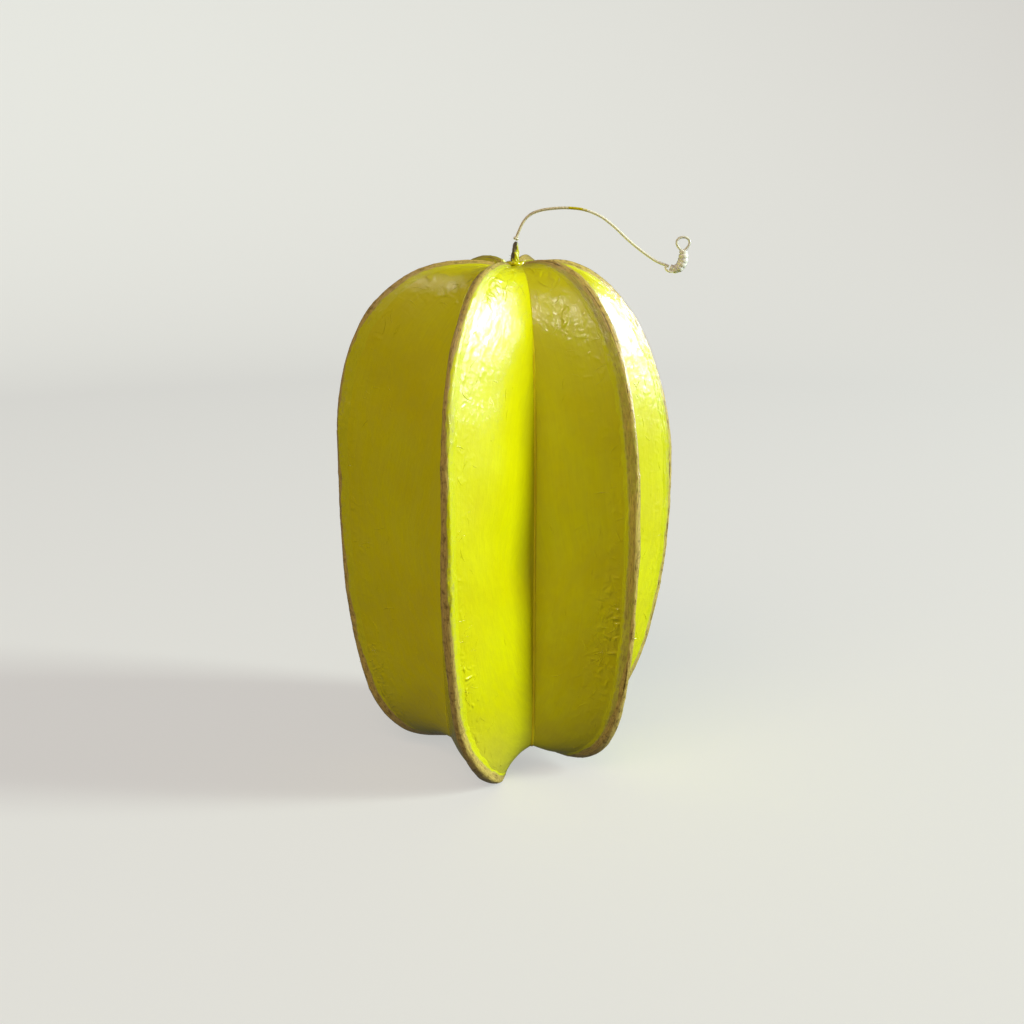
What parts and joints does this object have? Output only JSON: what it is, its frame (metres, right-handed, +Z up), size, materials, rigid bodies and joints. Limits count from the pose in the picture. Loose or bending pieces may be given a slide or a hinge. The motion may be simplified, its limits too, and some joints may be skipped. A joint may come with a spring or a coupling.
{
  "type": "papier-mache star fruit ornament",
  "caption": "Hollow ridged papier-mache star fruit ornament that stands on its lobes, with a bent hanging wire and a small wire eyelet at the crown.",
  "frame": {"origin": "on the floor under the middle of the fruit body's box", "axes": "+Z up along the fruit's axis, -Y towards the front, +X towards the side the hanging wire bends to"},
  "size_m": [0.2028, 0.2073, 0.3233],
  "materials": {
    "gloss_lemon_paint": "brushed gloss acrylic paint on papier-mache card, lemon-lime",
    "brown_edge_paper": "glued brown kraft paper under thin clear varnish",
    "plain_card": "bare grey-brown card",
    "twisted_paper": "twisted brown paper, partly painted lemon",
    "coated_wire": "ivory paper-coated wire with paint marks",
    "white_tape": "wrinkled white tape",
    "tinned_wire": "thin tinned wire",
    "birch_dowel": "bare birch"
  },
  "bodies": {
    "root": {"left_lobe_left_panel": "gloss_lemon_paint", "left_lobe_right_panel": "gloss_lemon_paint", "left_lobe_edge_strip": "brown_edge_paper", "front_left_lobe_left_panel": "gloss_lemon_paint", "front_left_lobe_right_panel": "gloss_lemon_paint", "front_left_lobe_edge_strip": "brown_edge_paper", "front_right_lobe_left_panel": "gloss_lemon_paint", "front_right_lobe_right_panel": "gloss_lemon_paint", "front_right_lobe_edge_strip": "brown_edge_paper", "right_lobe_left_panel": "gloss_lemon_paint", "right_lobe_right_panel": "gloss_lemon_paint", "right_lobe_edge_strip": "brown_edge_paper", "back_right_lobe_left_panel": "gloss_lemon_paint", "back_right_lobe_right_panel": "gloss_lemon_paint", "back_right_lobe_edge_strip": "brown_edge_paper", "back_left_lobe_left_panel": "gloss_lemon_paint", "back_left_lobe_right_panel": "gloss_lemon_paint", "back_left_lobe_edge_strip": "brown_edge_paper", "crown_ring": "gloss_lemon_paint", "stub": "twisted_paper", "crown_washer": "plain_card", "toggle": "birch_dowel", "anchor_wire": "coated_wire", "wire_twist": "coated_wire", "hanging_wire": "coated_wire", "tape_wrap": "white_tape", "eyelet": "tinned_wire", "wire_fold": "coated_wire"}
  },
  "joints": []
}
